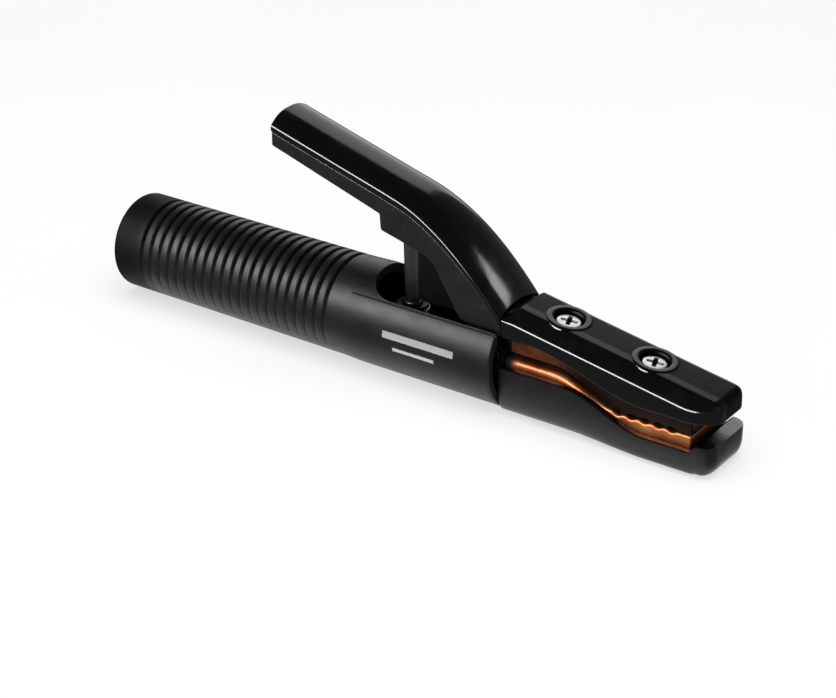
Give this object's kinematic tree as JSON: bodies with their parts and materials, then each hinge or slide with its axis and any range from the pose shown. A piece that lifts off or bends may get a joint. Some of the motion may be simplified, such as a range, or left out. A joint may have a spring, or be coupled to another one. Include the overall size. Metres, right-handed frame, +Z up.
{
  "type": "electrode holder",
  "caption": "Tong-type arc welding electrode holder: ribbed round handle, squeeze lever on a pivot, and sprung copper jaws inside insulators.",
  "frame": {"origin": "under the middle of the holder's length, on the plane of its flat underside", "axes": "+X along the handle towards the jaws, +Z up through the lever, Y across"},
  "size_m": [0.271, 0.0404, 0.0942],
  "materials": {
    "satin_plastic": "satin moulded black",
    "gloss_plastic": "glossy moulded black",
    "copper": "cast copper alloy, rubbed bright on its edges",
    "zinc_steel": "bright zinc plated",
    "spring_steel": "drawn wire"
  },
  "bodies": {
    "body": {"handle": "satin_plastic", "body_casting": "copper", "lower_jaw_insulator": "satin_plastic", "lower_jaw_screw_front": "zinc_steel", "lower_jaw_screw_rear": "zinc_steel", "cable_sleeve": "copper", "cable_clamp_screw_front": "zinc_steel", "cable_clamp_screw_rear": "zinc_steel", "handle_lock_screw": "zinc_steel", "pivot_pin": "zinc_steel", "pivot_clip": "spring_steel", "spring_seat": "satin_plastic", "spring": "spring_steel"},
    "lever": {"jaw_lever": "copper", "lever_cover": "gloss_plastic", "lever_body": "satin_plastic", "lever_cover_screw": "zinc_steel", "spring_cap": "satin_plastic", "upper_jaw_insulator": "gloss_plastic", "upper_jaw_screw_front": "zinc_steel", "upper_jaw_screw_rear": "zinc_steel"}
  },
  "joints": [
    {"name": "lever_pivot", "type": "hinge", "parent": "body", "child": "lever", "pos_m": [0.04, 0, 0.0212], "axis": [0, -1, 0], "range_deg": [0, 14], "stiffness_Nm_per_rad": 4, "springref_deg": -5.73, "deforming": ["spring"]}
  ]
}
